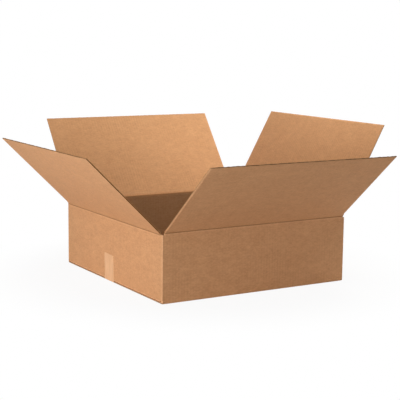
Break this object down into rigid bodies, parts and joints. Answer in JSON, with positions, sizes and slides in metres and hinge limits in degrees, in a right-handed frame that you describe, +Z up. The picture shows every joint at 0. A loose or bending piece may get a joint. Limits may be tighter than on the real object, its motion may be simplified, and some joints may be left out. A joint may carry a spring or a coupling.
{
  "type": "open cardboard box",
  "caption": "Shallow square carton in corrugated board, open at the top, with hinged flaps and a taped bottom.",
  "frame": {"origin": "middle of the underside, on the surface the carton stands on", "axes": "+X along the length panels, +Y along the width panels towards the back, +Z up out of the open top"},
  "size_m": [0.8248, 0.863, 0.3852],
  "materials": {
    "board": "matt brown liner",
    "tape": "satin tan film"
  },
  "bodies": {
    "carton": {"carton_body": "board", "sealing_tape": "tape"},
    "front_flap": {"top_flap_front": "board"},
    "right_flap": {"top_flap_right": "board"},
    "back_flap": {"top_flap_back": "board"},
    "left_flap": {"top_flap_left": "board"}
  },
  "joints": [
    {"name": "front_crease", "type": "hinge", "parent": "carton", "child": "front_flap", "pos_m": [0, -0.2574, 0.1645], "axis": [1, 0, 0], "range_deg": [-139.2, 70.8]},
    {"name": "right_crease", "type": "hinge", "parent": "carton", "child": "right_flap", "pos_m": [0.2574, 0, 0.1602], "axis": [0, 1, 0], "range_deg": [-119.4, 90.6]},
    {"name": "back_crease", "type": "hinge", "parent": "carton", "child": "back_flap", "pos_m": [0, 0.2574, 0.1645], "axis": [-1, 0, 0], "range_deg": [-126.7, 83.3]},
    {"name": "left_crease", "type": "hinge", "parent": "carton", "child": "left_flap", "pos_m": [-0.2574, 0, 0.1602], "axis": [0, -1, 0], "range_deg": [-135.6, 74.4]}
  ]
}
